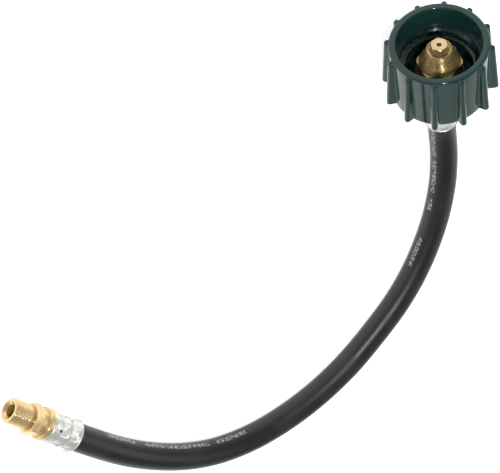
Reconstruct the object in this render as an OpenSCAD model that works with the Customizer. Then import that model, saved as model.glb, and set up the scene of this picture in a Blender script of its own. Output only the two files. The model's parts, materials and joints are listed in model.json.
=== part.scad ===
// Propane pigtail hose: a black rubber LP-gas hose with a hand-tightened Acme
// coupling nut on one end and a male inverted-flare fitting on the other.
// It lies on a flat surface at z = 0. The origin is under the middle of its two
// metal ends, and the nut's mouth faces +Y, tipped up.

/* [Coupling nut] */
// Height of the nut from its back face to its mouth
nut_h = 30; // [28:0.5:33]
// Outside diameter of the nut's wall
nut_d = 42.2; // [41.4:0.1:44]
// Major diameter of the internal Acme thread
acme_major_d = 33.9; // [33.4:0.1:34.4]
// Diameter of the smooth skirt bore in front of the thread
skirt_d = 36.2; // [35:0.1:37]
// Depth of the skirt bore, from the mouth
skirt_depth = 11.5; // [9:0.5:13]
// Thickness of the nut's back wall
back_wall = 8; // [6.5:0.5:9]
// Number of grip ribs
rib_count = 12; // [8:1:16]
// Width of a grip rib at its half-round tip
rib_w = 2.5; // [2:0.1:3.2]
// Width of a grip rib at the wall
rib_foot_w = 4; // [3.2:0.1:4.8]
// How far a rib stands out of the wall at its back end
rib_proud = 4; // [3:0.1:4.4]
// How far a rib stands out of the wall at its front end
rib_proud_front = 1.9; // [1.5:0.1:2.4]
// Distance from the nut's back face to the ribs' back ends
rib_start = 1.5; // [0.5:0.1:3]
// Distance from the ribs' front ends to the mouth
rib_stop = 0.6; // [0.3:0.1:2]
// Rounding of the ribs' ends
rib_round = 1.5; // [0.8:0.1:1.8]
// Rounding of the nut's outer edges
nut_round = 1.2; // [0.6:0.1:1.6]

/* [Thermal bushing] */
// Diameter of the bushing's flange, which the nipple's hexagon bears on
bush_flange_d = 22; // [20.6:0.1:24]
// Thickness of the bushing's flange
bush_flange_h = 3.5; // [2.5:0.1:4.5]
// Outside diameter of the bushing's sleeve
bush_sleeve_d = 17; // [15.4:0.1:17.6]
// How far the sleeve stops short of the nut's back face
bush_inset = 1.5; // [0.5:0.1:3]

/* [Nipple] */
// Width across the flats of the nipple's hexagon
nipple_hex_af = 17.6; // [17.2:0.1:18.2]
// Length of the nipple's hexagon, up to the foot of its cone
nipple_hex_h = 6.1; // [4:0.1:7]
// Length of the nipple's cone
nipple_cone_h = 8.4; // [7:0.1:10]
// Diameter of the cone's front rim
nipple_front_d = 10.8; // [10.6:0.1:12]
// Diameter of the nipple's shank, which the bushing turns on
shank_d = 11.2; // [10.6:0.1:12.4]
// Distance from the nut's back face to the front of the crimped ferrule
ferrule_gap = 9.5; // [9:0.5:12]

/* [Valve probe and excess-flow poppet] */
// Width across the flats of the hexagonal probe
probe_af = 6.5; // [5.8:0.1:6.8]
// How far the probe stands out of the cone's front rim
probe_out = 2.9; // [2:0.1:3.4]
// Diameter of the hole down the probe
probe_hole_d = 2; // [1.2:0.1:2.2]
// Diameter of the counterbore that holds the probe and its ring
recess_d = 9.6; // [9.4:0.1:9.8]
// Depth of the counterbore
recess_depth = 5.5; // [5.2:0.1:6.5]
// Thickness of the probe's flange
probe_flange_h = 2.2; // [1.6:0.1:2.4]
// Thickness of the retaining ring in front of the probe's flange
ring_h = 2.4; // [1.6:0.1:2.6]
// Wall of the retaining ring
ring_wall = 0.65; // [0.5:0.05:0.7]
// Diameter of the chamber that the poppet slides in
chamber_d = 8; // [7.6:0.1:8.2]
// Length of the poppet's chamber
chamber_h = 11; // [10:0.1:11.4]
// Diameter of the poppet's plug
plug_d = 4.8; // [4.2:0.1:5]
// Gap between the poppet and its seat when gas flows freely
poppet_lift = 1.85; // [1.2:0.05:2.2]
// Wire diameter of the poppet's spring
spring_wire = 0.6; // [0.4:0.05:0.65]
// Number of turns in the poppet's spring
spring_turns = 4; // [3:1:5]

/* [Hose] */
// Outside diameter of the hose
hose_d = 12.7; // [12.3:0.1:13]
// Bore of the hose
hose_bore = 6.4; // [5.8:0.1:6.6]
// Wall of the hose's inner tube
liner_wall = 1.1; // [0.9:0.1:1.2]
// Thickness of the textile reinforcement between the inner tube and the cover
braid_wall = 0.6; // [0.4:0.1:0.7]

/* [Crimped ferrules] */
// Length of a ferrule
ferrule_l = 16; // [15:0.5:18]
// Outside diameter of a ferrule
ferrule_d = 14.4; // [14.2:0.1:15]
// Thickness of a ferrule's closed end
ferrule_lip = 1.2; // [1:0.1:1.6]
// How far the open end of a ferrule flares out
bell_out = 0.25; // [0.1:0.05:0.4]
// Width of one crimped band
crimp_w = 4.2; // [3:0.1:4.8]
// Depth of the crimped flats
crimp_depth = 0.22; // [0.1:0.02:0.28]
// Number of flats round each crimped band
crimp_flats = 8; // [6:1:10]
// Diameter of the sight hole, which shows that the hose is fully in
sight_hole_d = 1.5; // [1:0.1:2]
// Distance from the sight hole's middle to the ferrule's closed end
sight_hole_back = 4; // [3:0.1:4.4]

/* [Barbed stems] */
// Diameter of the gas passage through the stems
passage_d = 3.8; // [3:0.1:4]
// Diameter of the neck that a ferrule's closed end grips
neck_d = 9.2; // [8.6:0.1:9.6]
// Number of barbs on each stem
barb_count = 3; // [2:1:4]
// Height of one barb's step
barb_step = 0.4; // [0.2:0.05:0.5]

/* [Flare fitting] */
// Diameter of the male flare thread
flare_thread_d = 11.1; // [10.9:0.05:11.3]
// Length of the threaded nose, with its lead chamfer
flare_nose_l = 10.7; // [9.5:0.1:12]
// Lead chamfer of the nose
nose_chamfer = 1.2; // [0.8:0.1:1.4]
// Width across the flats of the fitting's hexagon
flare_hex_af = 12.7; // [12.4:0.1:13.4]
// Length of the fitting's hexagon
flare_hex_h = 4.1; // [3.4:0.1:5]
// Diameter of the round neck behind the hexagon
flare_neck_d = 12.6; // [11.6:0.1:12.7]
// Length of the neck
flare_neck_h = 2.8; // [2:0.1:3.6]
// Diameter of the round collar against the ferrule
collar_d = 14.8; // [14.6:0.1:15.4]
// Length of the collar
collar_h = 2.7; // [2:0.1:3.6]
// Diameter of the bore at the nose
nose_bore_d = 5.6; // [5:0.1:5.8]
// Diameter of the mouth of the conical flare seat
flare_seat_d = 8.2; // [7.4:0.1:8.6]

/* [Hidden] */
$fn = 48;

// Radial clearance of parts that turn or slide on each other
running = 0.08;
// Radial clearance of parts that are pressed or crimped together
seated = 0.04;
// Overlap of cutting tools past the faces that they cut
past = 1;
// Gap left under the rounded back ends of the nut's ribs
rest_gap = 0.08;

green = [0.17, 0.26, 0.25];
brass = [0.76, 0.6, 0.33];
zinc = [0.82, 0.83, 0.82];
rubber = [0.13, 0.13, 0.13];
textile = [0.72, 0.7, 0.64];
nylon = [0.12, 0.2, 0.16];
steel = [0.6, 0.62, 0.64];

// Where the pieces lie: the nut rests on its ribs' back ends, tipped up at the mouth
nut_tilt = 22;
nut_x = 104.56;
nut_y = 11.67;
rib_tip_r = nut_d / 2 + rib_proud;
rib_phase = 180 / rib_count;
rib_tip_low = (rib_tip_r - rib_w / 2) * cos(rib_phase) + rib_w / 2;
nut_z = (rib_tip_low - rib_round) * cos(nut_tilt) - (rib_start + rib_round) * sin(nut_tilt)
    + rib_round + rest_gap;
nut_axis = [0, cos(nut_tilt), sin(nut_tilt)];

// The flare fitting's axis lies flat, its collar on the surface
flare_x = -108.3;
flare_y = -43.5;
flare_z = max(collar_d, ferrule_d + 2 * bell_out) / 2;
flare_heading = 116;
flare_axis = [cos(flare_heading), sin(flare_heading), 0];

// The grip ribs: how much they taper, how their flanks lean, and how deep they root in the wall
rib_front_z = nut_h - rib_stop;
rib_taper = (rib_proud - rib_proud_front) / (rib_front_z - rib_start);
rib_lean = (rib_foot_w - rib_w) / (2 * rib_proud - rib_w);
rib_root = 1.2;
rib_root_wall = 0.5;

// Small chamfers and steps of the nut and its bushing
skirt_step = 1;
mouth_break = 0.6;
bush_break = 0.6;

// Heights along the nut's axis, counted from its back face
shoulder_z = back_wall;
hex_back_z = shoulder_z + bush_flange_h;
cone_foot_z = hex_back_z + nipple_hex_h;
front_z = cone_foot_z + nipple_cone_h;
probe_tip_z = front_z + probe_out;
recess_z = front_z - recess_depth;
ring_z = recess_z + probe_flange_h;
chamber_z = recess_z - chamber_h;

// The chamfers of the hexagons' end faces: how far in they start, and their slope
hex_face_in = 0.2;
hex_over = 0.2;
hex_slope = tan(30);

// The nipple's hexagon and rim, and the probe's tip
nipple_hex_turn = 16;
hex_corner_r = nipple_hex_af / 2 / cos(30);
front_break = 0.3;
probe_corner_r = probe_af / 2 / cos(30);
probe_break = 0.4;

// The poppet, its spring and its seat
spring_room = 0.02;
spring_side_gap = 0.3;
seat_side_gap = 0.1;
spring_mean_r = chamber_d / 2 - spring_wire / 2 - spring_side_gap;
seat_r = spring_mean_r - spring_wire / 2 - seat_side_gap;
seat_slope_h = seat_r - passage_d / 2;
plug_z = chamber_z - (seat_r - plug_d / 2) + poppet_lift;
plug_nose_h = 1;
poppet_flange_h = 1.4;
poppet_flange_share = 0.6;
poppet_flange_z = chamber_z + chamber_h * poppet_flange_share;
poppet_stem_d = 3.8;
notch_count = 4;
notch_d = 1.5;
slot_w = 1.4;
slot_h = 1.5;
bleed_d = 0.8;

// Stems, hose and ferrules
ferrule_bore = hose_d + 2 * seated;
stem_end_gap = 1.5;
stem_l = ferrule_l - ferrule_lip - stem_end_gap;
stem_neck_l = 1.5;
bell_l = 1.2;
crimp_starts = [1.6, 7.2];
sight_hole_turn = 200;
edge_break = 0.3;
hose_sides = 12;
barb_r = hose_bore / 2 * cos(180 / hose_sides) - seated;
ferrule_round = 0.8;

// The flare fitting's hexagon, collar and thread
flare_hex_turn = 42;
collar_round = 1;
relief_l = 1;
relief_depth = 0.7;

// The hose's rings
rings_per_span = 2;

// The hose's way from the nut's ferrule to the fitting's, lying on the surface
hose_route = [[104.3, -21.5, 9.3], [102, -35.5, 7.4], [96.5, -50.5, 6.6], [86.5, -66.5, 6.4],
    [72, -82, 6.4], [55.5, -94, 6.4], [36.5, -103, 6.4], [16.5, -110, 6.4], [-4, -113.5, 6.4],
    [-23.5, -113.5, 6.4], [-41.5, -110.5, 6.4], [-58, -104, 6.4], [-72.5, -94, 6.4],
    [-85.5, -80.5, 6.6], [-96.5, -65, 6.9]];
hose_exit = [nut_x, nut_y, nut_z] - nut_axis * (ferrule_gap + ferrule_l);
hose_entry = [flare_x, flare_y, flare_z];
hose_inset = ferrule_l - ferrule_lip;

// A point a share t of the way from b to c on the smooth curve through a, b, c and d
function between(a, b, c, d, t) =
    b + 0.5 * t * ((c - a) + t * ((2 * a - 5 * b + 4 * c - d) + t * (3 * b - a - 3 * c + d)));

function unit(v) = v / norm(v);

// The hose's centreline: the free run, then the straight ends inside the ferrules
free_points = concat([hose_exit], hose_route, [hose_entry]);
reach = norm(free_points[1] - free_points[0]);
guides = concat([hose_exit + nut_axis * reach], free_points, [hose_entry + flare_axis * reach]);
free_run = concat(
    [for (i = [1 : len(guides) - 3]) for (k = [0 : rings_per_span - 1])
        between(guides[i - 1], guides[i], guides[i + 1], guides[i + 2], k / rings_per_span)],
    [hose_entry]);
centreline = concat([hose_exit + nut_axis * hose_inset], free_run,
    [hose_entry + flare_axis * hose_inset]);
last_ring = len(centreline) - 1;
function heading(i) =
    i <= 1 ? -nut_axis :
    i >= last_ring - 1 ? flare_axis :
    unit(centreline[i + 1] - centreline[i - 1]);

// One ring of points round the centreline, square to it
function ring(i, r) =
    let (along = heading(i), side = unit(cross(along, [0, 0, 1])), up = cross(side, along))
    [for (k = [0 : hose_sides - 1])
        let (turn = (k + 0.5) * 360 / hose_sides)
        centreline[i] + r * (cos(turn) * side + sin(turn) * up)];

// A quarter-round corner of radius r about [x, y], from an angle over 90 degrees
corner_steps = 4;
function rounded(x, y, r, from) = [for (k = [0 : corner_steps])
    let (turn = from + k * 90 / corner_steps)
    [x + r * cos(turn), y + r * sin(turn)]];

module at_nut() {
    translate([nut_x, nut_y, nut_z]) rotate([nut_tilt - 90, 0, 0]) children();
}

module at_flare() {
    translate([flare_x, flare_y, flare_z]) rotate([0, 0, flare_heading]) rotate([0, 90, 0]) children();
}

module hexagon(af, h) {
    cylinder(d = af / cos(30), h = h, $fn = 6);
}

// One layer of the hose: a tube swept along the centreline, from bore_r out to r
module hose_ply(bore_r, r) {
    n = hose_sides;
    points = [for (i = [0 : last_ring]) each concat(ring(i, r), ring(i, bore_r))];
    function at(i, k, inner) = (2 * i + inner) * n + k % n;
    walls = [for (i = [0 : last_ring - 1]) for (k = [0 : n - 1]) each [
        [at(i, k, 0), at(i + 1, k, 0), at(i + 1, k + 1, 0)],
        [at(i, k, 0), at(i + 1, k + 1, 0), at(i, k + 1, 0)],
        [at(i, k, 1), at(i + 1, k + 1, 1), at(i + 1, k, 1)],
        [at(i, k, 1), at(i, k + 1, 1), at(i + 1, k + 1, 1)]]];
    ends = [for (k = [0 : n - 1]) each [
        [at(0, k, 0), at(0, k + 1, 0), at(0, k + 1, 1)],
        [at(0, k, 0), at(0, k + 1, 1), at(0, k, 1)],
        [at(last_ring, k, 0), at(last_ring, k + 1, 1), at(last_ring, k + 1, 0)],
        [at(last_ring, k, 0), at(last_ring, k, 1), at(last_ring, k + 1, 1)]]];
    polyhedron(points = points, faces = concat(walls, ends), convexity = 8);
}

// A barbed stem that points along -Z from its neck at z = 0, with the ferrule's lip round the neck
module barbed_stem() {
    pitch = (stem_l - stem_neck_l) / barb_count;
    root_r = barb_r - barb_step;
    top = -ferrule_lip - stem_neck_l;
    translate([0, 0, -ferrule_lip]) cylinder(d = neck_d - 2 * seated, h = ferrule_lip + past);
    rotate_extrude() polygon(concat(
        [[0, -ferrule_lip], [0, -ferrule_lip - stem_l], [root_r, -ferrule_lip - stem_l]],
        [for (k = [barb_count - 1 : -1 : 0]) each [
            [barb_r, top - k * pitch],
            [root_r, top - k * pitch]]],
        [[root_r, -ferrule_lip]]));
}

// A ferrule with its belled open end at z = 0 and its closed end at z = ferrule_l
module ferrule() {
    r = ferrule_d / 2;
    bore_r = ferrule_bore / 2;
    difference() {
        rotate_extrude() polygon(concat(
            [[bore_r, 0], [r + bell_out - edge_break, 0], [r + bell_out, edge_break], [r, bell_l]],
            rounded(r - ferrule_round, ferrule_l - ferrule_round, ferrule_round, 0),
            [[neck_d / 2, ferrule_l], [neck_d / 2, ferrule_l - ferrule_lip],
            [bore_r, ferrule_l - ferrule_lip]]));
        for (start = crimp_starts) translate([0, 0, start]) crimp_cut(r);
        translate([0, 0, ferrule_l - sight_hole_back]) rotate([0, 90, sight_hole_turn])
            cylinder(d = sight_hole_d, h = r + past);
    }
}

// What the crimping jaws take off a ferrule of outer radius r: all outside a prism of flats
module crimp_cut(r) {
    flats_r = (r - crimp_depth) / cos(180 / crimp_flats);
    difference() {
        cylinder(r = r + past, h = crimp_w);
        translate([0, 0, -past]) cylinder(r = flats_r, h = crimp_w + 2 * past, $fn = crimp_flats);
    }
}

module coupling_nut() color(green) at_nut() {
    r = nut_d / 2;
    thread_top_z = nut_h - skirt_depth - skirt_step;
    difference() {
        union() {
            rotate_extrude() polygon(concat(
                [[0, 0]],
                rounded(r - nut_round, nut_round, nut_round, -90),
                rounded(r - nut_round, nut_h - nut_round, nut_round, 0),
                [[0, nut_h]]));
            grip_ribs(r);
        }
        translate([0, 0, -past]) cylinder(d = bush_sleeve_d + 2 * running, h = nut_h);
        translate([0, 0, shoulder_z]) cylinder(d = acme_major_d, h = nut_h);
        translate([0, 0, nut_h - skirt_depth]) cylinder(d = skirt_d, h = nut_h);
        translate([0, 0, thread_top_z]) cylinder(d1 = acme_major_d, d2 = skirt_d, h = skirt_step);
        translate([0, 0, nut_h - mouth_break])
            cylinder(r1 = skirt_d / 2, r2 = skirt_d / 2 + mouth_break + past, h = mouth_break + past);
    }
}

// The ribs: tapering bars on a wall of radius r, rounded off at both ends by a turned outline
module grip_ribs(r) {
    inner_r = skirt_d / 2 + rib_root_wall;
    intersection() {
        for (i = [0 : rib_count - 1]) rotate(90 + rib_phase + i * 360 / rib_count)
            translate([rib_tip_r, 0, rib_start]) rotate([0, -atan(rib_taper), 0])
            translate([0, 0, -rib_start - past]) linear_extrude(nut_h + past) rib_section();
        rotate_extrude() polygon(concat(
            [[inner_r, rib_start]],
            rounded(rib_tip_r - rib_round, rib_start + rib_round, rib_round, -90),
            rounded(r + rib_proud_front - rib_round, rib_front_z - rib_round, rib_round, 0),
            [[inner_r, rib_front_z]]));
    }
}

// A rib's section: leaning flanks and a half-round tip that reaches x = 0
module rib_section() {
    tip_r = rib_w / 2;
    root = rib_proud + rib_root;
    root_w = rib_foot_w / 2 + rib_lean * rib_root;
    translate([-tip_r, 0]) circle(r = tip_r);
    polygon([[-tip_r, tip_r], [-root, root_w], [-root, -root_w], [-tip_r, -tip_r]]);
}

module thermal_bushing() color(nylon) at_nut() difference() {
    union() {
        translate([0, 0, bush_inset])
            cylinder(d = bush_sleeve_d, h = shoulder_z - bush_inset + past);
        rotate_extrude() polygon([[0, shoulder_z], [bush_flange_d / 2, shoulder_z],
            [bush_flange_d / 2, hex_back_z - bush_break],
            [bush_flange_d / 2 - bush_break, hex_back_z], [0, hex_back_z]]);
    }
    cylinder(d = shank_d + 2 * running, h = nut_h);
}

module nipple_body() color(brass) at_nut() difference() {
    face_r = nipple_hex_af / 2 - hex_face_in;
    over_r = hex_corner_r + past;
    cone_slope = (front_z - front_break - cone_foot_z) / (hex_corner_r - nipple_front_d / 2);
    union() {
        intersection() {
            translate([0, 0, hex_back_z]) rotate(nipple_hex_turn)
                hexagon(nipple_hex_af, front_z - hex_back_z);
            rotate_extrude() polygon([[0, hex_back_z], [face_r, hex_back_z],
                [over_r, hex_back_z + (over_r - face_r) * hex_slope],
                [over_r, cone_foot_z - past * cone_slope],
                [nipple_front_d / 2, front_z - front_break],
                [nipple_front_d / 2 - front_break, front_z], [0, front_z]]);
        }
        translate([0, 0, -ferrule_gap]) cylinder(d = shank_d, h = ferrule_gap + hex_back_z + past);
        translate([0, 0, -ferrule_gap]) barbed_stem();
    }
    rotate_extrude() polygon([[0, -ferrule_gap - ferrule_l],
        [passage_d / 2, -ferrule_gap - ferrule_l], [passage_d / 2, chamber_z - seat_slope_h],
        [seat_r, chamber_z], [chamber_d / 2, chamber_z], [chamber_d / 2, recess_z],
        [recess_d / 2, recess_z], [recess_d / 2, front_z + past], [0, front_z + past]]);
}

// A hexagonal probe on a round flange, which the retaining ring holds down in the counterbore
module valve_probe() color(brass) at_nut() difference() {
    union() {
        translate([0, 0, recess_z]) cylinder(d = recess_d - 2 * seated, h = probe_flange_h);
        intersection() {
            translate([0, 0, recess_z]) hexagon(probe_af, probe_tip_z - recess_z);
            rotate_extrude() polygon([[0, recess_z], [probe_corner_r + past, recess_z],
                [probe_corner_r + past, probe_tip_z - probe_break - past],
                [probe_corner_r - probe_break, probe_tip_z], [0, probe_tip_z]]);
        }
    }
    translate([0, 0, recess_z - past]) cylinder(d = probe_hole_d, h = nut_h);
}

module probe_retaining_ring() color(brass) at_nut() translate([0, 0, ring_z]) difference() {
    outer_r = recess_d / 2 - seated;
    cylinder(r = outer_r, h = ring_h);
    translate([0, 0, -past]) cylinder(r = outer_r - ring_wall, h = ring_h + 2 * past);
}

// The poppet: a plug with a coned nose, a notched flange on the spring, and a slotted stem above it
module flow_poppet() color(brass) at_nut() difference() {
    union() {
        translate([0, 0, plug_z - plug_nose_h])
            cylinder(d1 = plug_d - 2 * plug_nose_h, d2 = plug_d, h = plug_nose_h);
        translate([0, 0, plug_z]) cylinder(d = plug_d, h = poppet_flange_z - plug_z + past / 2);
        translate([0, 0, poppet_flange_z])
            cylinder(d = chamber_d - 2 * running, h = poppet_flange_h);
        translate([0, 0, poppet_flange_z]) cylinder(d = poppet_stem_d, h = recess_z - poppet_flange_z);
    }
    for (i = [0 : notch_count - 1]) rotate(i * 360 / notch_count)
        translate([chamber_d / 2, 0, poppet_flange_z - past])
        cylinder(d = notch_d, h = poppet_flange_h + 2 * past);
    for (turn = [0, 90]) rotate(turn) translate([-poppet_stem_d, -slot_w / 2, recess_z - slot_h])
        cube([2 * poppet_stem_d, slot_w, slot_h + past]);
    translate([0, 0, chamber_z - past]) cylinder(d = bleed_d, h = nut_h);
}

// The spring's coil, a wire of six sides that climbs from the chamber's floor to the poppet's flange
module poppet_spring() {
    wire_sides = 6;
    steps = 14;
    wire_r = spring_wire / 2;
    climb = poppet_flange_z - chamber_z - spring_wire - 2 * spring_room;
    count = spring_turns * steps;
    points = [for (i = [0 : count]) for (k = [0 : wire_sides - 1])
        let (turn = i * 360 / steps, lean = (k + 0.5) * 360 / wire_sides,
            out = spring_mean_r + wire_r * cos(lean),
            high = chamber_z + spring_room + wire_r + climb * i / count + wire_r * sin(lean))
        [out * cos(turn), out * sin(turn), high]];
    function at(i, k) = i * wire_sides + k % wire_sides;
    ends = [[for (k = [0 : wire_sides - 1]) at(0, k)],
        [for (k = [wire_sides - 1 : -1 : 0]) at(count, k)]];
    walls = [for (i = [0 : count - 1]) for (k = [0 : wire_sides - 1]) each [
        [at(i, k), at(i + 1, k + 1), at(i, k + 1)],
        [at(i, k), at(i + 1, k), at(i + 1, k + 1)]]];
    color(steel) at_nut() polyhedron(points = points, faces = concat(ends, walls), convexity = 8);
}

module nut_end_ferrule() color(zinc)
    at_nut() translate([0, 0, -ferrule_gap - ferrule_l]) ferrule();

module hose_cover() color(rubber)
    hose_ply(hose_bore / 2 + liner_wall + braid_wall, hose_d / 2);

module hose_reinforcement() color(textile)
    hose_ply(hose_bore / 2 + liner_wall, hose_bore / 2 + liner_wall + braid_wall);

module hose_liner() color(rubber) hose_ply(hose_bore / 2, hose_bore / 2 + liner_wall);

module flare_end_ferrule() color(zinc) at_flare() ferrule();

module flare_fitting() color(brass) at_flare() translate([0, 0, ferrule_l]) {
    neck_top_z = collar_h + flare_neck_h;
    hex_top_z = neck_top_z + flare_hex_h;
    tip_z = hex_top_z + flare_nose_l;
    collar_r = collar_d / 2;
    thread_r = flare_thread_d / 2;
    thread_start_z = hex_top_z + relief_l + relief_depth;
    seat_h = (flare_seat_d - nose_bore_d) / 2;
    face_r = flare_hex_af / 2 - hex_face_in;
    over_r = flare_hex_af / 2 / cos(30) + hex_over;
    difference() {
        union() {
            barbed_stem();
            rotate_extrude() polygon(concat(
                [[0, 0], [collar_r - edge_break, 0], [collar_r, edge_break]],
                rounded(collar_r - collar_round, collar_h - collar_round, collar_round, 0),
                [[flare_neck_d / 2, collar_h], [flare_neck_d / 2, neck_top_z + past / 2],
                [0, neck_top_z + past / 2]]));
            intersection() {
                translate([0, 0, neck_top_z]) rotate(flare_hex_turn)
                    hexagon(flare_hex_af, flare_hex_h);
                rotate_extrude() polygon([[0, neck_top_z], [face_r, neck_top_z],
                    [over_r, neck_top_z + (over_r - face_r) * hex_slope],
                    [over_r, hex_top_z - (over_r - face_r) * hex_slope], [face_r, hex_top_z],
                    [0, hex_top_z]]);
            }
            rotate_extrude() polygon([[0, neck_top_z], [thread_r - relief_depth, neck_top_z],
                [thread_r - relief_depth, hex_top_z + relief_l], [thread_r, thread_start_z],
                [thread_r, tip_z - nose_chamfer], [thread_r - nose_chamfer, tip_z], [0, tip_z]]);
        }
        rotate_extrude() polygon([[0, -ferrule_l], [passage_d / 2, -ferrule_l],
            [passage_d / 2, neck_top_z], [nose_bore_d / 2, neck_top_z],
            [nose_bore_d / 2, tip_z - seat_h], [flare_seat_d / 2 + past, tip_z + past],
            [0, tip_z + past]]);
    }
}

coupling_nut();
thermal_bushing();
nipple_body();
valve_probe();
probe_retaining_ring();
flow_poppet();
poppet_spring();
nut_end_ferrule();
hose_cover();
hose_reinforcement();
hose_liner();
flare_end_ferrule();
flare_fitting();
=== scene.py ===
import json
import math

import bmesh
import bpy
from mathutils import Matrix, Vector, noise


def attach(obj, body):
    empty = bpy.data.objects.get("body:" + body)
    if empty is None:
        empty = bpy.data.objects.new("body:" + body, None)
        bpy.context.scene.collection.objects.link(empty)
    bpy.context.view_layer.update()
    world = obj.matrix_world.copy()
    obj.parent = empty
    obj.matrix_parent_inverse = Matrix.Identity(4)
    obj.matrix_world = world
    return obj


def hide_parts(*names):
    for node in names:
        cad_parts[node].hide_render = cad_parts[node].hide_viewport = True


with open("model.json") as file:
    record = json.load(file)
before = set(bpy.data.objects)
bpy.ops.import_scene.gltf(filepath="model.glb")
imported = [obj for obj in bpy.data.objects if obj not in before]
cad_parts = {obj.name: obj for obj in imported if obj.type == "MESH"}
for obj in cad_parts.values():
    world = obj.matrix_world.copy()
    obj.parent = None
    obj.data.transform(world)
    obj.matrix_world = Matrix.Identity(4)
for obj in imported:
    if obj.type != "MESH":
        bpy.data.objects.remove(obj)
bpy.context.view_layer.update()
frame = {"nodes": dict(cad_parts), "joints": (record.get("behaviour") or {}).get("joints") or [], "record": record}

# ---------------------------------------------------------------------------
# The camera stands beyond the nut and looks down on the hose. It is rolled so
# that the nut comes to the upper right and the flare fitting to the lower left.
camera_place = Vector((-0.1176, 0.3687, 0.4702))
camera_target = Vector((0.0042, -0.0146, 0.0))
camera_roll = math.radians(131.6)
camera_lens = 100.8
camera_film = 36.0

camera = bpy.data.objects.new("camera", bpy.data.cameras.new("camera"))
bpy.context.scene.collection.objects.link(camera)
bpy.context.scene.camera = camera
camera.data.sensor_width = camera_film
camera.data.lens = camera_lens
camera.data.clip_start = 0.01
camera.location = camera_place
camera.rotation_mode = "QUATERNION"
level_view = (camera_target - camera_place).to_track_quat("-Z", "Y")
camera.rotation_quaternion = level_view @ Matrix.Rotation(camera_roll, 3, "Z").to_quaternion()

# ---------------------------------------------------------------------------
# The hose is quarter-inch LP-gas hose, cut 330 mm long: a smooth black cover
# extruded over the yarn and the inner tube. Its ends run straight inside the two
# ferrules. The length between them lies on the table, and rises to the nut.
MM = 0.001
hose_r = 6.35 * MM
hose_bore_r = 3.2 * MM
hose_in_ferrule = 14.8 * MM
hose_sides = 40
hose_spans = 8
ferrule_gap = 9.5 * MM
ferrule_l = 16 * MM
rubber_black = (0.0097, 0.0104, 0.0121, 1)
rubber_faded = (0.0168, 0.0177, 0.02, 1)
print_grey = (0.42, 0.425, 0.44, 1)
print_turn = math.radians(10)
print_half_width = 1.25 * MM
print_pitch = 2.7 * MM
print_runs = ((15.5 * MM, 67 * MM), (81 * MM, 98 * MM), (217 * MM, 300 * MM))
hose_route = [
    (0.1043, -0.0215, 0.0093), (0.102, -0.0355, 0.0074), (0.0965, -0.0505, 0.0066),
    (0.0865, -0.0665, 0.0064), (0.072, -0.082, 0.0064), (0.0555, -0.094, 0.0064),
    (0.0365, -0.103, 0.0064), (0.0165, -0.11, 0.0064), (-0.004, -0.1135, 0.0064),
    (-0.0235, -0.1135, 0.0064), (-0.0415, -0.1105, 0.0064), (-0.058, -0.104, 0.0064),
    (-0.0725, -0.094, 0.0064), (-0.0855, -0.0805, 0.0066), (-0.0965, -0.065, 0.0069)]

joints = {joint["name"]: joint for joint in frame["joints"]}
mounts = {mount["name"]: mount for mount in frame["record"]["mounts"]}
nut_back = Vector(joints["nut_spin"]["pos_m"])
nut_axis = Vector(joints["nut_spin"]["axis"]).normalized()
thread_middle = 31.2 * MM
flare_axis = Vector(mounts["flare_thread"]["axis"]).normalized()
flare_foot = Vector(mounts["flare_thread"]["pos_m"]) - flare_axis * thread_middle
hose_exit = nut_back - nut_axis * (ferrule_gap + ferrule_l)


def hose_line(spans):
    """The centreline through the route's points, with straight ends inside the ferrules."""
    points = [hose_exit] + [Vector(p) for p in hose_route] + [flare_foot]
    reach = (points[1] - points[0]).length
    guides = [hose_exit + nut_axis * reach] + points + [flare_foot + flare_axis * reach]
    line = [hose_exit + nut_axis * hose_in_ferrule * share for share in (1, 0.75, 0.5, 0.25)]
    for a, b, c, d in zip(guides, guides[1:], guides[2:], guides[3:]):
        for k in range(spans):
            t = k / spans
            cubic = (2 * a - 5 * b + 4 * c - d) + t * (3 * b - a - 3 * c + d)
            line.append(b + 0.5 * t * ((c - a) + t * cubic))
    line += [flare_foot + flare_axis * hose_in_ferrule * share for share in (0, 0.25, 0.5, 0.75, 1)]
    return line


def turned(outline, steps, closed=True):
    """A shape turned about Z from its outline of (radius, height). An open one ends on the axis."""
    bm = bmesh.new()
    corners = [bm.verts.new((r, 0, z)) for r, z in outline]
    edges = [bm.edges.new(pair) for pair in zip(corners, corners[1:])]
    if closed:
        edges.append(bm.edges.new((corners[-1], corners[0])))
    bmesh.ops.spin(bm, geom=corners + edges, axis=(0, 0, 1), cent=(0, 0, 0), angle=2 * math.pi,
                   steps=steps, use_merge=True)
    bmesh.ops.remove_doubles(bm, verts=bm.verts[:], dist=1e-7)
    bmesh.ops.dissolve_degenerate(bm, edges=bm.edges[:], dist=1e-7)
    bmesh.ops.recalc_face_normals(bm, faces=bm.faces[:])
    return bm


def distances_along(line):
    """How far along the line each of its points is."""
    far = [0.0]
    for a, b in zip(line, line[1:]):
        far.append(far[-1] + (b - a).length)
    return far


def bend_along(bm, line, far):
    """Bends a straight tube on Z along the line. Each point keeps its straight place as its lay."""
    lay = bm.verts.layers.float_vector.new("lay")
    rings = []
    for i, point in enumerate(line):
        heading = (line[min(i + 1, len(line) - 1)] - line[max(i - 1, 0)]).normalized()
        side = heading.cross(Vector((0, 0, 1))).normalized()
        rings.append((point, side, side.cross(heading)))
    for vert in bm.verts:
        vert[lay] = vert.co
        ring = min(range(len(far)), key=lambda i: abs(far[i] - vert.co.z))
        point, side, up = rings[ring]
        vert.co = point + vert.co.x * side + vert.co.y * up


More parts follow.
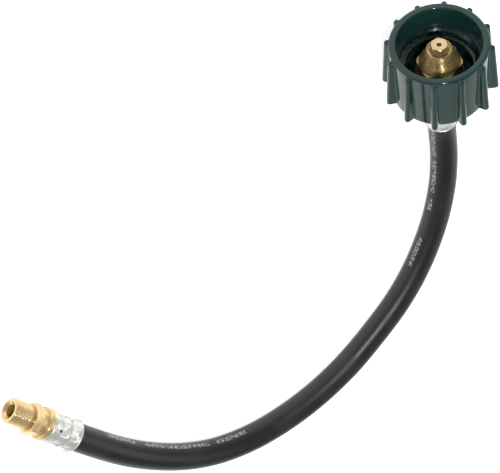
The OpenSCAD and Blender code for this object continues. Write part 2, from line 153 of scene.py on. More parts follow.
def made_piece(bm, name, finish, body, crease, place=Matrix.Identity(4)):
    """The mesh as an object at the origin, set in its place, smooth but for its creases."""
    bm.transform(place)
    mesh = bpy.data.meshes.new(name)
    bm.to_mesh(mesh)
    bm.free()
    mesh.polygons.foreach_set("use_smooth", [True] * len(mesh.polygons))
    mesh.set_sharp_from_angle(angle=math.radians(crease))
    mesh.materials.append(finish)
    obj = bpy.data.objects.new(name, mesh)
    bpy.context.scene.collection.objects.link(obj)
    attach(obj, body)
    return obj


class Shade:
    """One value or colour of a material. A Python sum on values adds its Math nodes."""

    def __init__(self, tree, socket=None):
        self.tree = tree
        self.socket = socket

    def node(self, kind, settings=None, sockets=None, out=0):
        """Adds a node with these settings and these values or links in its sockets."""
        made = self.tree.nodes.new("ShaderNode" + kind)
        for name, value in (settings or {}).items():
            setattr(made, name, value)
        for name, value in (sockets or {}).items():
            if isinstance(value, Shade):
                self.tree.links.new(value.socket, made.inputs[name])
            else:
                made.inputs[name].default_value = value
        return Shade(self.tree, made.outputs[out])

    def maths(self, operation, *others):
        """This value put through a Math node, with the others that it takes."""
        return self.node("Math", {"operation": operation}, dict(enumerate((self, *others))))

    def __add__(self, other):
        return self.maths("ADD", other)

    def __sub__(self, other):
        return self.maths("SUBTRACT", other)

    def __rsub__(self, other):
        return self.node("Math", {"operation": "SUBTRACT"}, {0: other, 1: self})

    def __mul__(self, other):
        return self.maths("MULTIPLY", other)

    __radd__ = __add__
    __rmul__ = __mul__

    def rise(self, low, high):
        """0 below low and 1 above high, with a smooth step between."""
        settings = {"interpolation_type": "SMOOTHSTEP"}
        return self.node("MapRange", settings, {"Value": self, "From Min": low, "From Max": high})

    def between(self, first, second):
        """The colour this share of the way from the first to the second."""
        return self.node("Mix", {"data_type": "RGBA"}, {0: self, 6: first, 7: second}, out=2)

    def xyz(self):
        """The three coordinates of this point."""
        return [self.node("SeparateXYZ", {}, {"Vector": self}, out=k) for k in range(3)]

    def grain(self, scale, detail=3.0, stretch=(1, 1, 1)):
        """Noise on these coordinates with about scale grains to the metre, more where stretch is larger."""
        where = self.node("Mapping", {}, {"Vector": self, "Scale": stretch})
        return self.node("TexNoise", {}, {"Vector": where, "Scale": scale, "Detail": detail})

    def relief(self, strength, distance, filter_width=0.1):
        """The normal of a surface with this height. Finer marks need a smaller filter width in pixels."""
        return self.node("Bump", {}, {"Height": self, "Strength": strength, "Distance": distance,
                                      "Filter Width": filter_width})


def new_finish(name, **plain):
    """A material, its shader with the numbers that are the same all over, and its first Shade."""
    material = bpy.data.materials.new(name)
    material.use_nodes = True
    shader = material.node_tree.nodes["Principled BSDF"]
    for socket, value in plain.items():
        shader.inputs[socket.replace("_", " ")].default_value = value
    return material, shader, Shade(material.node_tree)


def feed(shader, **shades):
    """Links these values and colours to the shader's sockets."""
    for socket, shade in shades.items():
        shade.tree.links.new(shade.socket, shader.inputs[socket.replace("_", " ")])


def rubber_cover():
    """Smooth extruded rubber, a little faded, with the worn pale marks of a printed line."""
    material, shader, start = new_finish("black_rubber", Specular_IOR_Level=0.4)
    lay = start.node("Attribute", {"attribute_name": "lay"}, out=1)
    fade = lay.grain(55, 4).rise(0.4, 0.72)
    drawn = lay.grain(900, 3, (1, 1, 0.03))
    pores = lay.grain(2600, 2)
    x, y, z = lay.xyz()
    across = x * math.sin(print_turn) - y * math.cos(print_turn)
    facing = (x * math.cos(print_turn) + y * math.sin(print_turn)).rise(0.5 * hose_r, 0.6 * hose_r)
    band = 1 - across.maths("ABSOLUTE").rise(print_half_width * 0.85, print_half_width)
    strokes = lay.grain(1150, 1, (1, 1, 0.75)).rise(0.43, 0.52)
    letter = (z * (1 / print_pitch)).maths("FRACT")
    words = z.node("TexNoise", {"noise_dimensions": "1D"}, {"W": z, "Scale": 95.0, "Detail": 0.0})
    runs = sum(z.rise(low, low + MM) - z.rise(high - MM, high) for low, high in print_runs)
    ink = band * facing * strokes * letter.rise(0.12, 0.2) * words.rise(0.25, 0.29) * runs
    rubber = fade.between(rubber_black, rubber_faded)
    feed(shader,
         Base_Color=(ink * (0.4 + pores * 0.7)).between(rubber, print_grey),
         Roughness=0.32 + fade * 0.1 + drawn * 0.08,
         Normal=(drawn * 0.7 + pores * 0.5).relief(0.3, 0.08 * MM))
    return material


hose_middle = hose_line(hose_spans)
hose_far = distances_along(hose_middle)
tube_outline = [(hose_r, s) for s in hose_far] + [(hose_bore_r, s) for s in reversed(hose_far)]
hose_mesh = turned(tube_outline, hose_sides)
bend_along(hose_mesh, hose_middle, hose_far)
hose = made_piece(hose_mesh, "gas_hose", rubber_cover(), "root", crease=60)
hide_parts("hose_cover", "hose_reinforcement", "hose_liner")

# ---------------------------------------------------------------------------
# The two ferrules are zinc-plated steel cups, crimped over the hose ends by a die
# of eight jaws in two bands. The open end is belled, and a sight hole near the
# closed end shows that the hose is fully in.
ferrule_r = 7.2 * MM
ferrule_bore_r = 6.39 * MM
ferrule_lip = 1.2 * MM
ferrule_neck_r = 4.6 * MM
ferrule_round = 0.8 * MM
bell_out = 0.25 * MM
bell_edge = 0.25 * MM
bell_land = 0.6 * MM
bell_l = 1.2 * MM
jaw_count = 8
jaw_depth = 0.4 * MM
jaw_bands = ((3.7 * MM, 2.1 * MM), (9.3 * MM, 2.1 * MM))
jaw_edge = (0.72, 1.1)
seam_edge = (0.02, 0.13)
seam_pressed = 0.15
groove_depth = 0.3 * MM
groove_edge = (0.03, 0.1)
groove_runout = 2 * MM
dimple_depth = 0.05 * MM
dimples_per_m = 700
ferrule_row = 0.22 * MM
sight_hole_r = 0.75 * MM
sight_hole_z = 12 * MM
sight_hole_cut = 4 * MM
sight_hole_turn = math.radians(200)
zinc_bright = (0.73, 0.73, 0.69, 1)
zinc_dull = (0.5, 0.5, 0.475, 1)


def seat_of(foot, axis, side):
    """The place of a piece turned about Z, stood with its foot there and its X towards side."""
    turn = Matrix((side, axis.cross(side), axis)).transposed().to_4x4()
    return Matrix.Translation(foot) @ turn


def corner(x, z, radius, start, steps=5):
    """Points round a quarter circle about (x, z), from the start angle in degrees."""
    angles = [math.radians(start + 90 * k / steps) for k in range(steps + 1)]
    return [(x + radius * math.cos(a), z + radius * math.sin(a)) for a in angles]


def rows(radius, low, high, step):
    """Evenly spaced points along a straight wall, without its two ends."""
    count = max(1, round(abs(high - low) / step))
    return [(radius, low + (high - low) * k / count) for k in range(1, count)]


def cut_with(base, tool, operation):
    """The union, difference or intersection of two closed meshes."""
    blanks = []
    for part in (base, tool):
        mesh = bpy.data.meshes.new("blank")
        part.to_mesh(mesh)
        part.free()
        blanks.append(bpy.data.objects.new("blank", mesh))
        bpy.context.scene.collection.objects.link(blanks[-1])
    cut = blanks[0].modifiers.new("cut", "BOOLEAN")
    cut.operation = operation
    cut.object = blanks[1]
    cut.solver = "EXACT"
    result = bmesh.new()
    result.from_object(blanks[0], bpy.context.evaluated_depsgraph_get())
    for blank in blanks:
        bpy.data.meshes.remove(blank.data)
    return result


def smooth(value, low, high):
    """0 below low and 1 above high, with a smooth step between."""
    t = min(1.0, max(0.0, (value - low) / (high - low)))
    return t * t * (3 - 2 * t)


def jaw_mark(turn, z):
    """How deep the jaws have pressed the wall at an angle and a height, with a groove under each jaw."""
    share = (turn * jaw_count / (2 * math.pi)) % 1
    seam = min(share, 1 - share)
    mark = 0.0
    for middle, half in jaw_bands:
        pressed = 1 - smooth(abs(z - middle), jaw_edge[0] * half, jaw_edge[1] * half)
        mark += pressed * (seam_pressed + (1 - seam_pressed) * smooth(seam, *seam_edge))
    low, high = jaw_bands[0][0], jaw_bands[-1][0]
    groove = 1 - smooth(abs(share - 0.5), *groove_edge)
    groove *= smooth(z, low, low + groove_runout) * smooth(high - z, 0, groove_runout)
    return jaw_depth * mark + groove_depth * groove * (1 - mark)


def ferrule():
    """A crimped ferrule with its open end at z = 0."""
    wall = [(ferrule_r + bell_out, bell_edge), (ferrule_r + bell_out, bell_land)]
    wall += rows(ferrule_r, bell_land, ferrule_l - ferrule_round, ferrule_row)
    end = corner(ferrule_r - ferrule_round, ferrule_l - ferrule_round, ferrule_round, 0)
    inside = [(ferrule_neck_r, ferrule_l), (ferrule_neck_r, ferrule_l - ferrule_lip),
              (ferrule_bore_r, ferrule_l - ferrule_lip), (ferrule_bore_r, 0), (ferrule_r, 0)]
    bm = turned(wall + end + inside, 144)
    for vert in bm.verts:
        radius = math.hypot(vert.co.x, vert.co.y)
        if radius > (ferrule_bore_r + ferrule_r) / 2 and vert.co.z > 0:
            turn = math.atan2(vert.co.y, vert.co.x)
            bell = bell_out * (1 - smooth(vert.co.z, bell_land, bell_l)) if vert.co.z > bell_land else 0
            dimple = dimple_depth * noise.noise(vert.co * dimples_per_m)
            grown = (radius + bell - jaw_mark(turn, vert.co.z) + dimple) / radius
            vert.co.x *= grown
            vert.co.y *= grown
    hole = bmesh.new()
    bmesh.ops.create_cone(hole, cap_ends=True, segments=28, radius1=sight_hole_r, radius2=sight_hole_r,
                          depth=sight_hole_cut)
    aim = Matrix.Rotation(sight_hole_turn, 4, "Z") @ Matrix.Translation((ferrule_r, 0, sight_hole_z))
    hole.transform(aim @ Matrix.Rotation(math.pi / 2, 4, "Y"))
    return cut_with(bm, hole, "DIFFERENCE")


def own_place(start, place):
    """Coordinates in a piece's own frame, with Z along its axis."""
    where = start.node("TexCoord", out=3)
    settings = {"vector_type": "TEXTURE"}
    return start.node("Mapping", settings, {"Vector": where, "Location": place.translation,
                                            "Rotation": place.to_euler()})


def zinc_plate(name, place):
    """Zinc-plated steel: pale, softly mottled, with a dull film over the bright metal."""
    material, shader, start = new_finish(name)
    own = own_place(start, place)
    mottle = own.grain(480, 4).rise(0.38, 0.66)
    scuffs = own.grain(1500, 3, (1, 1, 0.2))
    feed(shader,
         Base_Color=(mottle * 0.75).between(zinc_bright, zinc_dull),
         Metallic=0.75 - mottle * 0.3,
         Roughness=0.26 + mottle * 0.16 + scuffs * 0.08,
         Normal=(mottle * 0.5 + scuffs * 0.5).relief(0.45, 0.12 * MM))
    return material


sideways = Vector((1, 0, 0))
downwards = Vector((0, 0, -1))
nut_place = seat_of(nut_back, nut_axis, sideways)
flare_place = seat_of(flare_foot, flare_axis, downwards)
nut_ferrule_place = seat_of(hose_exit, nut_axis, sideways)
for node_name, place in (("nut_end_ferrule", nut_ferrule_place), ("flare_end_ferrule", flare_place)):
    zinc = zinc_plate("zinc_" + node_name, place)
    cup = made_piece(ferrule(), "crimped_" + node_name, zinc, "root", crease=40, place=place)
    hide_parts(node_name)

# ---------------------------------------------------------------------------
# The coupling nut is one moulding in glossy green thermoplastic: a cup with twelve
# tapering grip ribs, a smooth skirt bore, and the Acme thread behind it that
# screws onto the cylinder valve by hand.
nut_h = 30 * MM
nut_r = 21.1 * MM
nut_round = 1.2 * MM
mouth_round = 0.8 * MM
mouth_break = 0.4 * MM
skirt_r = 18.1 * MM
skirt_depth = 11.5 * MM
ledge_z = nut_h - skirt_depth
ledge_break = 0.3 * MM
acme_r = 16.95 * MM
acme_pitch = 5.08 * MM
acme_depth = 2.5 * MM
acme_flank = 0.13
acme_crest = 0.37
acme_heel = (0.4 * MM, 2.4 * MM)
back_wall = 8 * MM
back_rim = 4 * MM
nut_bore_r = 8.58 * MM
nut_bore_break = 0.4 * MM
wall_row = 1.6 * MM
skirt_row = 1.5 * MM
acme_row = 0.2 * MM
rib_count = 12
rib_turn = math.radians(15)
rib_start = 1.5 * MM
rib_end = 29.4 * MM
rib_tip_r = 1.25 * MM
rib_lean = math.radians(15)
rib_proud_back = 4.0 * MM
rib_proud_front = 1.9 * MM
rib_round = 1.15 * MM
rib_round_steps = 6
rib_fillet = 0.6 * MM
tip_steps = 7
flank_steps = 3
fillet_steps = 5
wall_steps = 7
half_columns = tip_steps + flank_steps + fillet_steps + wall_steps
green_deep = (0.009, 0.036, 0.032, 1)
green_pale = (0.012, 0.047, 0.042, 1)
# Near black, painted into the nut's thread as shade.
painted_shade_black = (0.003, 0.006, 0.007, 1)


def rib_point(column, z):
    """How far across from a rib's middle a column of points stands, and how far out of the wall."""
    proud = rib_proud_back + (rib_proud_front - rib_proud_back) * (z - rib_start) / (rib_end - rib_start)
    depth = min(z - rib_start, rib_end - z)
    rounding = rib_round - math.sqrt(max(0.0, rib_round ** 2 - max(0.0, rib_round - depth) ** 2))
    tip = rib_tip_r - rounding
    middle = proud - rib_tip_r
    lean, upright = math.sin(rib_lean), math.cos(rib_lean)
    foot = (tip + middle * lean) / upright
    heel = foot + rib_fillet * (1 - lean) / upright
    if column <= tip_steps:
        turn = math.pi / 2 - column / tip_steps * (math.pi / 2 - rib_lean)
        return tip * math.cos(turn), middle + tip * math.sin(turn)
    column -= tip_steps
    flank_low = rib_fillet * (1 - lean)
    if column <= flank_steps:
        high = middle + tip * lean
        height = high + (flank_low - high) * column / flank_steps
        return (tip + (middle - height) * lean) / upright, height
    column -= flank_steps
    if column <= fillet_steps:
        turn = rib_lean + column / fillet_steps * (math.pi / 2 - rib_lean)
        return heel - rib_fillet * math.cos(turn), rib_fillet * (1 - math.sin(turn))
    return heel + (math.pi * nut_r / rib_count - heel) * (column - fillet_steps) / wall_steps, 0.0


def acme_height(turn, z):
    """How far the thread stands in from its root, at an angle and a height."""
    share = (z / acme_pitch - turn / (2 * math.pi)) % 1
    off = abs(share - 0.5)
    crest = 1 - smooth(off, acme_crest / 2, acme_crest / 2 + acme_flank)
    start = ledge_z - ledge_break
    lead = max(0.0, min(1.0, (start - z) / acme_depth))
    heel = smooth(z, back_wall + acme_heel[0], back_wall + acme_heel[1])
    return acme_depth * min(crest, lead) * heel


def mouth_drop(z):
    """How far the rounding of the mouth's outer edge takes the wall in at a height."""
    rise = max(0.0, z - nut_h + mouth_round)
    return mouth_round - math.sqrt(mouth_round ** 2 - rise ** 2)


def moulded_nut():
    """The nut's cup, turned, with its points then moved out into the ribs and in to the thread."""
    sliver = 0.01 * MM
    outline = [(nut_bore_r, nut_bore_break), (nut_bore_r + nut_bore_break, 0),
               (nut_r - nut_round - back_rim, 0)]
    outline += corner(nut_r - nut_round, nut_round, nut_round, -90)
    outline.append((nut_r, rib_start - sliver))
    turns = [math.radians(90 * k / rib_round_steps) for k in range(rib_round_steps + 1)]
    outline += [(nut_r, rib_start + rib_round * (1 - math.cos(turn))) for turn in turns]
    outline += rows(nut_r, rib_start + rib_round, rib_end - rib_round, wall_row)
    for turn in reversed(turns):
        z = rib_end - rib_round * (1 - math.cos(turn))
        outline.append((nut_r - mouth_drop(z), z))
    outline.append((nut_r - mouth_drop(rib_end + sliver), rib_end + sliver))
    # The ribs end on the mouth's rounding, so its first points are left out here.
    outline += corner(nut_r - mouth_round, nut_h - mouth_round, mouth_round, 0)[3:]
    outline += corner(skirt_r + mouth_break, nut_h - mouth_break, mouth_break, 90)
    outline += rows(skirt_r, nut_h - mouth_break, ledge_z, skirt_row)
    outline.append((skirt_r, ledge_z))
    outline += corner(acme_r + ledge_break, ledge_z - ledge_break, ledge_break, 90)
    outline += rows(acme_r, ledge_z - ledge_break, back_wall, acme_row)
    outline += [(acme_r, back_wall), (nut_bore_r, back_wall)]
    columns = 2 * half_columns
    bm = turned(outline, rib_count * columns)
    for vert in bm.verts:
        x, y, z = vert.co
        radius = math.hypot(x, y)
        count = round(math.atan2(y, x) * rib_count * columns / (2 * math.pi))
        rib = round(count / columns)
        column = count - rib * columns
        across, height = rib_point(abs(column), min(max(z, rib_start), rib_end))
        turn = rib_turn + rib * 2 * math.pi / rib_count + math.copysign(across / nut_r, column)
        if radius > nut_r - mouth_round and rib_start - sliver / 2 < z < rib_end + sliver / 2:
            radius += height
        elif abs(radius - acme_r) < 1e-6 and back_wall < z:
            radius -= acme_height(turn, z)
        vert.co = (radius * math.cos(turn), radius * math.sin(turn), z)
    bmesh.ops.recalc_face_normals(bm, faces=bm.faces[:])
    return bm


def green_moulding():
    """Glossy injection-moulded plastic, hazed by handling, with painted shade darkening its thread deep in the
    cup.
    """
    material, shader, start = new_finish("green_moulding", IOR=1.49, Specular_IOR_Level=0.33)
    own = own_place(start, nut_place)
    flow = own.grain(45, 2, (1, 1, 0.3))
    haze = own.grain(170, 3).rise(0.45, 0.75)
    x, y, z = own.xyz()
    radius = (x * x + y * y).maths("SQRT")
    # Painted shade: the thread below the skirt is darkened to near black and made a little rougher, standing in
    # for the shade deep inside the cup.
    inside = z.rise(0.5 * MM, 2 * MM) - z.rise(ledge_z, ledge_z + MM)
    painted_shade = inside * (1 - radius.rise(acme_r + ledge_break, skirt_r)) * (0.7 + haze * 0.3)
    green = flow.rise(0.35, 0.7).between(green_deep, green_pale)
    feed(shader,
         Base_Color=painted_shade.between(green, painted_shade_black),
         Roughness=0.11 + haze * 0.06 + painted_shade * 0.05,
         Normal=flow.relief(0.15, 0.12 * MM))
    return material


nut = made_piece(moulded_nut(), "ribbed_coupling_nut", green_moulding(), "nut",
                 crease=40, place=nut_place)
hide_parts("coupling_nut")

# ---------------------------------------------------------------------------
# The thermal bushing is a turned nylon flange and sleeve that the nut bears on.
# In a fire it melts, and the nipple draws back from the valve.
bushing = frame["nodes"]["thermal_bushing"]
nylon_dark = (0.012, 0.024, 0.018, 1)
nylon_worn = (0.03, 0.045, 0.036, 1)


def dark_nylon():
    """Dark nylon with paler rub marks, short along the axis."""
    material, shader, start = new_finish("dark_nylon")
    own = own_place(start, nut_place)
    rub = own.grain(350, 3, (1, 1, 4))
    feed(shader,
         Base_Color=rub.rise(0.45, 0.75).between(nylon_dark, nylon_worn),
         Roughness=0.45 + rub * 0.15,
         Normal=rub.relief(0.3, 0.1 * MM))
    return material


bushing.data.materials.clear()
bushing.data.materials.append(dark_nylon())

# ---------------------------------------------------------------------------
# The nipple is turned from hexagon brass bar: a cone that seats in the valve, the
# hexagon behind it, the shank that the bushing slides on, and the barbed stem in the
# hose. Its front is bored for the probe and for the excess-flow poppet.
nipple_af = 17.6 * MM
nipple_turn = math.radians(16)
hex_back_z = 11.5 * MM
cone_foot_z = 17.6 * MM
cone_foot_r = 9.05 * MM
hex_front_r = 9.4 * MM
hex_corner_r = 9.8 * MM
front_z = 26 * MM
nipple_front_r = 5.4 * MM
shank_r = 5.6 * MM
recess_r = 4.8 * MM
recess_z = 20.5 * MM
chamber_r = 4.0 * MM
chamber_z = 9.5 * MM
seat_r = 3.0 * MM
passage_r = 1.9 * MM
nipple_edge = 0.3 * MM
recess_chamfer = 0.2 * MM
overcut = 0.1 * MM
stem_short = 1.5 * MM
stem_l = ferrule_l - ferrule_lip - stem_short
stem_clearance = 0.04 * MM
barb_r = 3.05 * MM
barb_root_r = 2.65 * MM
barb_land = 1.5 * MM
barb_count = 3
bar_edge = 0.12 * MM
face_in = 0.2 * MM
tool_feed = 0.12 * MM
flats_edge = 0.2 * MM
brass_deep = (0.52, 0.36, 0.14, 1)
brass_gold = (0.66, 0.48, 0.22, 1)
brass_stain = (0.36, 0.23, 0.09, 1)


def hexagon_bar(across_flats, low, high, turn):
    """A hexagonal bar along Z with its long edges just broken."""
    bm = bmesh.new()
    corner_r = across_flats / 2 / math.cos(math.pi / 6)
    length = high - low
    bmesh.ops.create_cone(bm, cap_ends=True, segments=6, radius1=corner_r, radius2=corner_r, depth=length)
    long_edges = [e for e in bm.edges if abs(e.verts[0].co.z - e.verts[1].co.z) > length / 2]
    bmesh.ops.bevel(bm, geom=long_edges, offset=bar_edge, segments=2, profile=0.5, affect="EDGES",
                    material=-1)
    first = Matrix.Rotation(turn - math.pi / 2, 4, "Z")
    bm.transform(Matrix.Translation((0, 0, (low + high) / 2)) @ first)
    return bm


def barbed_stem(mouth):
    """The outline of a barbed stem below a mouth height, from its tip up to the neck."""
    pitch = (stem_l - barb_land) / barb_count
    outline = [(0, mouth - ferrule_lip - stem_l)]
    for k in reversed(range(barb_count)):
        top = mouth - ferrule_lip - barb_land - k * pitch
        outline += [(barb_root_r, top - pitch), (barb_r, top), (barb_root_r, top)]
    neck_r = ferrule_neck_r - stem_clearance
    outline += [(barb_root_r, mouth - ferrule_lip), (neck_r, mouth - ferrule_lip), (neck_r, mouth)]
    return outline


def faced(across_flats, corner_r, low, high):
    """The outline that turns a hexagonal bar's corners round, with a chamfer at its low end."""
    face_r = across_flats / 2 - face_in
    slant = (corner_r - face_r) * math.tan(math.pi / 6)
    return [(0, low), (face_r, low), (corner_r, low + slant), (corner_r, high)]


def turned_nipple():
    """The nipple: a hexagonal bar turned to its cone, on its shank and barbed stem, then bored."""
    front_slant = (hex_corner_r - hex_front_r) * math.tan(math.pi / 6)
    head = faced(nipple_af, hex_corner_r, hex_back_z, cone_foot_z - front_slant)
    head += [(hex_front_r, cone_foot_z), (cone_foot_r, cone_foot_z)]
    head += corner(nipple_front_r - nipple_edge, front_z - nipple_edge, nipple_edge, 0, 4) + [(0, front_z)]
    bar = hexagon_bar(nipple_af, hex_back_z - MM, front_z + MM, nipple_turn)
    bm = cut_with(turned(head, 144, closed=False), bar, "INTERSECT")
    shank = barbed_stem(-ferrule_gap)
    shank += [(shank_r, -ferrule_gap), (shank_r, hex_back_z + MM), (0, hex_back_z + MM)]
    bm = cut_with(bm, turned(shank, 96, closed=False), "UNION")
    mouth_r = recess_r + recess_chamfer + overcut
    bore = [(0, -ferrule_gap - ferrule_l), (passage_r, -ferrule_gap - ferrule_l),
            (passage_r, chamber_z - seat_r + passage_r), (seat_r, chamber_z), (chamber_r, chamber_z),
            (chamber_r, recess_z), (recess_r, recess_z), (recess_r, front_z - recess_chamfer),
            (mouth_r, front_z + overcut), (mouth_r, front_z + MM), (0, front_z + MM)]
    return cut_with(bm, turned(bore, 96, closed=False), "DIFFERENCE")


def turned_brass(name, place, light, dark, roughness, tool_slope, flats):
    """Turned brass with a little tarnish, and the tool's scallops everywhere but on the bar's flats."""
    material, shader, start = new_finish(name)
    own = own_place(start, place)
    x, y, z = own.xyz()
    radius = (x * x + y * y).maths("SQRT")
    cut = own.node("CombineXYZ", {}, {"X": radius, "Y": z, "Z": 0.0})
    bands = cut.grain(500, 2)
    turns = (z - radius) * (1 / tool_feed)
    scallop = turns.maths("FRACT") - 0.5
    on_bar = z.rise(flats[0], flats[0] + flats_edge) - z.rise(flats[1] - flats_edge, flats[1])
    tarnish = own.grain(260, 3).rise(0.5, 0.75)
    brass = bands.rise(0.2, 0.8).between(dark, light)
    feed(shader,
         Base_Color=(tarnish * 0.3).between(brass, brass_stain),
         Metallic=0.8 - bands * 0.15 - tarnish * 0.05,
         Roughness=roughness + tarnish * 0.1,
         Normal=(scallop * scallop * (1 - on_bar)).relief(1.0, tool_slope * tool_feed, 0.02))
    return material


nipple_brass = turned_brass("turned_brass", nut_place, brass_gold, brass_deep, roughness=0.25,
                            tool_slope=0.68, flats=(hex_back_z, cone_foot_z - MM))
nipple = made_piece(turned_nipple(), "coned_nipple", nipple_brass, "root",
                    crease=25, place=nut_place)
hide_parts("nipple_body")

# ---------------------------------------------------------------------------
# The probe pushes the valve's seat open. It is a piece of hexagon brass bar on a
# round flange, drilled through, and a brass ring pressed into the nipple's recess
# holds the flange down.
probe_af = 6.5 * MM
probe_flange_r = 4.76 * MM
probe_flange_h = 2.2 * MM
probe_tip_z = 28.9 * MM
probe_break = 0.35 * MM
probe_hole_r = 1.0 * MM
probe_hole_chamfer = 0.15 * MM
ring_h = 2.4 * MM
ring_wall = 0.65 * MM
ring_break = 0.15 * MM
probe_cream = (0.6, 0.48, 0.3, 1)
probe_gold = (0.5, 0.37, 0.18, 1)


def drilled_probe():
    """The probe: hexagonal bar with a chamfered tip, on its flange, drilled through."""
    corner_r = probe_af / 2 / math.cos(math.pi / 6) + face_in
    tip = [(0, recess_z), (corner_r, recess_z), (corner_r, probe_tip_z - probe_break - face_in),
           (corner_r - probe_break - face_in, probe_tip_z), (0, probe_tip_z)]
    bar = hexagon_bar(probe_af, recess_z + overcut, probe_tip_z + MM, 0.0)
    bm = cut_with(bar, turned(tip, 96, closed=False), "INTERSECT")
    flange_top = recess_z + probe_flange_h
    flange = [(0, recess_z), (probe_flange_r, recess_z)]
    flange += corner(probe_flange_r - ring_break, flange_top - ring_break, ring_break, 0, 3)
    flange += [(0, flange_top)]
    bm = cut_with(bm, turned(flange, 96, closed=False), "UNION")
    mouth_r = probe_hole_r + probe_hole_chamfer + overcut
    hole = [(0, recess_z - MM), (probe_hole_r, recess_z - MM),
            (probe_hole_r, probe_tip_z - probe_hole_chamfer), (mouth_r, probe_tip_z + overcut),
            (0, probe_tip_z + overcut)]
    return cut_with(bm, turned(hole, 48, closed=False), "DIFFERENCE")


def pressed_ring():
    """The ring on the probe's flange, with the edges of its front broken."""
    low = recess_z + probe_flange_h
    top = low + ring_h - ring_break
    outline = [(probe_flange_r - ring_wall, low), (probe_flange_r, low)]
    outline += corner(probe_flange_r - ring_break, top, ring_break, 0, 3)
    outline += corner(probe_flange_r - ring_wall + ring_break, top, ring_break, 90, 3)
    return turned(outline, 96)


pale_brass = turned_brass("pale_brass", nut_place, probe_cream, probe_gold, roughness=0.28,
                          tool_slope=0.12, flats=(recess_z + probe_flange_h, probe_tip_z - probe_break))
probe = made_piece(drilled_probe(), "hexagonal_probe", pale_brass, "root",
                   crease=30, place=nut_place)
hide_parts("valve_probe")
ring = made_piece(pressed_ring(), "probe_ring", nipple_brass, "root",
                  crease=30, place=nut_place)
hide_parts("probe_retaining_ring")

# ---------------------------------------------------------------------------
# The excess-flow poppet is turned in brass, and slides in the nipple's chamber on a
# coil spring of drawn steel wire. It shuts the gas off if the hose is cut.
poppet = frame["nodes"]["flow_poppet"]
spring = frame["nodes"]["poppet_spring"]
steel_grey = (0.5, 0.51, 0.53, 1)
steel_dark = (0.3, 0.31, 0.33, 1)


def drawn_wire():
    """Spring steel wire, bright from the drawing die."""
    material, shader, start = new_finish("spring_steel", Metallic=1.0)
    drawn = own_place(start, nut_place).grain(1800, 3)
    feed(shader,
         Base_Color=drawn.rise(0.4, 0.7).between(steel_grey, steel_dark),
         Roughness=0.28 + drawn * 0.15,
         Normal=drawn.relief(0.2, 0.03 * MM))
    return material


for piece, finish in ((poppet, nipple_brass), (spring, drawn_wire())):
    piece.data.materials.clear()
    piece.data.materials.append(finish)

# ---------------------------------------------------------------------------
# The flare fitting is forged in brass and turned: a round collar against the
# ferrule, a neck, the hexagon for the wrench, and a threaded nose with a conical
# seat in its mouth. It screws into the regulator.
flare_r = 5.55 * MM
flare_pitch = 25.4 / 24 * MM
flare_thread_depth = 0.22 * MM
flare_flank = (0.06, 0.44)
flare_runout = 1 * MM
flare_lead = 0.4 * MM
flare_thread_row = 0.1 * MM
flare_plain_l = 1 * MM
flare_relief = 0.7 * MM
flare_nose_l = 10.7 * MM
nose_round = 1.2 * MM
flare_af = 12.7 * MM
flare_corner_r = 7.5 * MM
flare_hex_h = 4.1 * MM
flare_turn = math.radians(42)
flare_neck_r = 6.3 * MM
flare_neck_h = 2.8 * MM
neck_in_hex = 0.5 * MM
collar_r = 7.4 * MM
collar_h = 2.7 * MM
collar_edge = 0.3 * MM
collar_round = 0.9 * MM
flare_neck_z = ferrule_l + collar_h
flare_hex_z = flare_neck_z + flare_neck_h
flare_nose_z = flare_hex_z + flare_hex_h
flare_tip_z = flare_nose_z + flare_nose_l
nose_bore_r = 2.8 * MM
flare_seat_r = 4.1 * MM
forged_light = (0.7, 0.54, 0.29, 1)
forged_dark = (0.62, 0.45, 0.2, 1)


def flare_thread(turn, z, low, high):
    """How deep the thread is cut at an angle and a height, running out at both ends."""
    share = (z / flare_pitch - turn / (2 * math.pi)) % 1
    groove = 1 - smooth(abs(share - 0.5), *flare_flank)
    ends = smooth(z, low, low + flare_runout) * smooth(high - z, 0, flare_lead)
    return flare_thread_depth * groove * ends


def threaded_nose():
    """The nose, turned down behind its thread, with the thread's groove cut from there to the tip."""
    foot = flare_hex_z + MM
    low = flare_tip_z - flare_nose_l + flare_plain_l + flare_relief
    high = flare_tip_z - nose_round
    outline = [(0, foot), (flare_r - flare_relief, foot), (flare_r - flare_relief, low - flare_relief),
               (flare_r, low)]
    outline += rows(flare_r, low, high, flare_thread_row)
    outline += corner(flare_r - nose_round, high, nose_round, 0, 6) + [(0, flare_tip_z)]
    bm = turned(outline, 96, closed=False)
    for vert in bm.verts:
        radius = math.hypot(vert.co.x, vert.co.y)
        if abs(radius - flare_r) < 1e-6:
            cut = flare_thread(math.atan2(vert.co.y, vert.co.x), vert.co.z, low, high)
            vert.co.x *= (radius - cut) / radius
            vert.co.y *= (radius - cut) / radius
    return bm


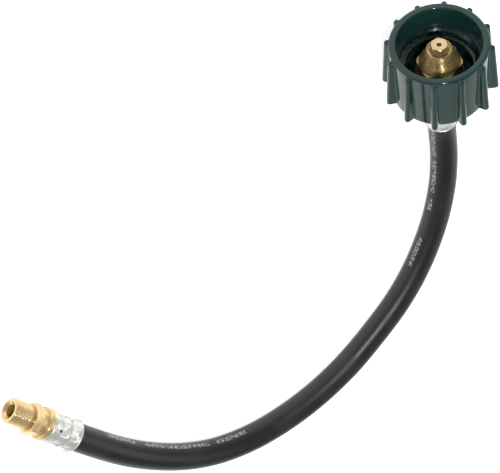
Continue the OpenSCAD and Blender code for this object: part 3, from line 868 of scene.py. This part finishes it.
def turned_fitting():
    """The fitting: hexagon, collar with its barbed stem, and threaded nose in one piece, then bored."""
    bar = hexagon_bar(flare_af, flare_hex_z - MM, flare_nose_z + MM, flare_turn)
    near = faced(flare_af, flare_corner_r, flare_hex_z, flare_nose_z)
    far = faced(flare_af, flare_corner_r, -flare_nose_z, -flare_hex_z)
    ends = near[:-1] + [(r, -z) for r, z in reversed(far[:-1])]
    bm = cut_with(bar, turned(ends, 96, closed=False), "INTERSECT")
    neck_top = flare_hex_z + neck_in_hex
    collar = barbed_stem(ferrule_l) + [(collar_r - collar_edge, ferrule_l)]
    collar += corner(collar_r - collar_edge, ferrule_l + collar_edge, collar_edge, -90, 3)
    collar += corner(collar_r - collar_round, flare_neck_z - collar_round, collar_round, 0)
    collar += [(flare_neck_r, flare_neck_z), (flare_neck_r, neck_top), (0, neck_top)]
    bm = cut_with(bm, turned(collar, 96, closed=False), "UNION")
    bm = cut_with(bm, threaded_nose(), "UNION")
    bore = [(0, 0), (passage_r, 0), (passage_r, flare_hex_z), (nose_bore_r, flare_hex_z),
            (nose_bore_r, flare_tip_z - flare_seat_r + nose_bore_r), (flare_seat_r, flare_tip_z),
            (flare_seat_r, flare_tip_z + MM), (0, flare_tip_z + MM)]
    return cut_with(bm, turned(bore, 96, closed=False), "DIFFERENCE")


forged_brass = turned_brass("forged_brass", flare_place, forged_light, forged_dark, roughness=0.2,
                            tool_slope=0.34, flats=(flare_hex_z, flare_nose_z))
fitting = made_piece(turned_fitting(), "threaded_flare_fitting", forged_brass, "root",
                     crease=25, place=flare_place)
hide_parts("flare_fitting")

# ---------------------------------------------------------------------------
# The table is plain white under two softboxes and a white sky. What the camera and
# the bright metal see of it is pure white, and the table keeps the soft shadow. The
# sky they see is white at the horizon and greyer overhead, as a studio's ceiling is.
table_half = 1.5
table_drop = 0.15 * MM
table_grey = (0.9, 0.9, 0.9, 1)
white = (1, 1, 1, 1)
table_glow = 0.76
sky_light = 0.54
sky_overhead = 0.3


def seen_white(start):
    """1 for what the camera, a mirror or glass sees, and 0 for light that falls on something."""
    rays = start.node("LightPath").socket.node
    seen = Shade(start.tree, rays.outputs["Is Camera Ray"])
    for ray in ("Is Glossy Ray", "Is Transmission Ray"):
        seen = seen.maths("MAXIMUM", Shade(start.tree, rays.outputs[ray]))
    return seen


table_mesh = bmesh.new()
bmesh.ops.create_grid(table_mesh, x_segments=1, y_segments=1, size=table_half)
table_mesh.transform(Matrix.Translation((0, 0, -table_drop)))
table_data = bpy.data.meshes.new("table")
table_mesh.to_mesh(table_data)
table = bpy.data.objects.new("table", table_data)
bpy.context.scene.collection.objects.link(table)
table_white, table_shader, table_start = new_finish(
    "table_white", Base_Color=table_grey, Roughness=1.0, Emission_Color=white)
feed(table_shader, Emission_Strength=seen_white(table_start) * table_glow)
table_data.materials.append(table_white)

world = bpy.data.worlds.new("white_sky")
world.use_nodes = True
bpy.context.scene.world = world
sky = Shade(world.node_tree)
backdrop = world.node_tree.nodes["Background"]
backdrop.inputs["Color"].default_value = white
direction = sky.node("TexCoord")
height = sky.node("SeparateXYZ", {}, {"Vector": direction}, out=2)
seen_sky = 1 - height.rise(0.1, 0.6) * (1 - sky_overhead)
seen = seen_white(sky)
strength = seen * seen_sky + (1 - seen) * sky_light
world.node_tree.links.new(strength.socket, backdrop.inputs["Strength"])


def softbox(name, towards, distance, size, power):
    """A square area lamp that shines on the middle of the object from that direction."""
    lamp = bpy.data.lights.new(name, "AREA")
    lamp.size = size
    lamp.energy = power
    box = bpy.data.objects.new(name, lamp)
    bpy.context.scene.collection.objects.link(box)
    box.location = Vector(towards).normalized() * distance
    box.rotation_mode = "QUATERNION"
    box.rotation_quaternion = Vector(towards).to_track_quat("Z", "Y")


softbox("key_softbox", towards=(-0.256, 0.443, 0.867), distance=1.0, size=0.06, power=5.0)
softbox("side_softbox", towards=(0.6, -0.45, 0.65), distance=1.3, size=0.9, power=3.6)

bpy.context.scene.view_settings.view_transform = "Standard"
